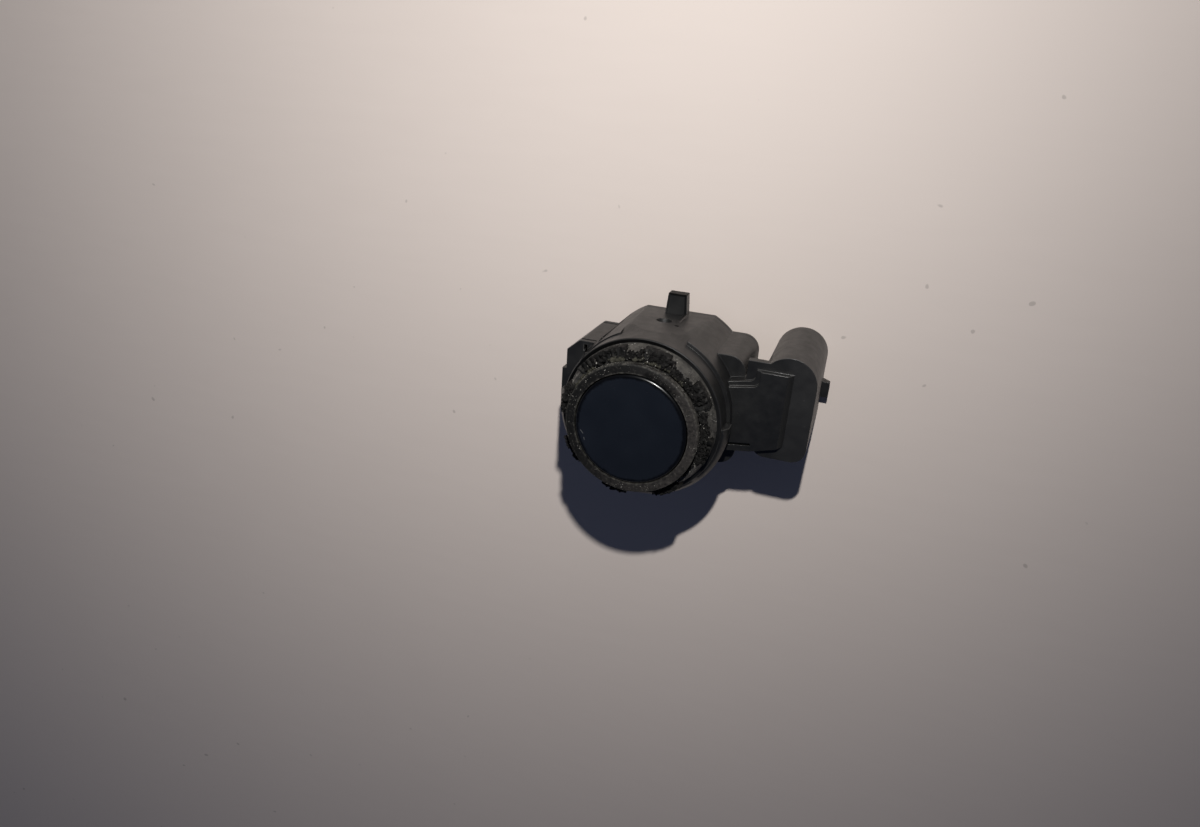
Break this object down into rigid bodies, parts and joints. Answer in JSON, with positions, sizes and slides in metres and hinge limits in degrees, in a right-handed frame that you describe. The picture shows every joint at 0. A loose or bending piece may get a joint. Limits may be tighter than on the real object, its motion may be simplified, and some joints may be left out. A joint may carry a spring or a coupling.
{
  "type": "parking sensor",
  "caption": "Ultrasonic bumper parking sensor: round sensing face in a toothed sealing ring, flat-sided barrel with side ears, and a side arm carrying a sealed plug connector",
  "frame": {"origin": "on the sensing axis, in the plane of the rear foot pad that the part stands on", "axes": "+Z out of the sensing face, +X toward the connector, +Y toward the locking finger"},
  "size_m": [0.0366, 0.0259, 0.0265],
  "materials": {
    "housing_plastic": "black glass-filled moulding, fine matte skin",
    "collar_plastic": "black moulding, dusty and scuffed",
    "ring_silicone": "black silicone rubber, dusty",
    "cup_paint": "dark blue-grey paint on drawn aluminium, satin",
    "piezo_ceramic": "silvered ceramic disc",
    "pad_felt": "grey felt",
    "filling_foam": "pale silicone foam",
    "lead_copper": "bare copper wire",
    "carrier_plastic": "natural moulding",
    "contact_tin": "tinned",
    "board_laminate": "green lacquered laminate",
    "core_ferrite": "sintered ferrite",
    "winding_copper": "enamelled copper wire",
    "chip_resin": "black moulding resin",
    "capacitor_ceramic": "sintered ceramic",
    "resistor_ceramic": "glazed film on ceramic",
    "terminal_tin": "tinned bronze",
    "cover_plastic": "black moulding, fine matte skin"
  },
  "bodies": {
    "root": {"housing": "housing_plastic", "collar": "collar_plastic", "sealing_ring": "ring_silicone", "sensing_cup": "cup_paint", "piezo_disc": "piezo_ceramic", "damping_pad": "pad_felt", "cup_filling": "filling_foam", "signal_lead": "lead_copper", "ground_lead": "lead_copper", "contact_carrier": "carrier_plastic", "signal_contact": "contact_tin", "ground_contact": "contact_tin", "circuit_board": "board_laminate", "transformer_core": "core_ferrite", "transformer_winding": "winding_copper", "driver_chip": "chip_resin", "capacitors": "capacitor_ceramic", "resistors": "resistor_ceramic", "supply_terminal": "terminal_tin", "signal_terminal": "terminal_tin", "ground_terminal": "terminal_tin", "rear_cover": "cover_plastic"}
  },
  "joints": []
}
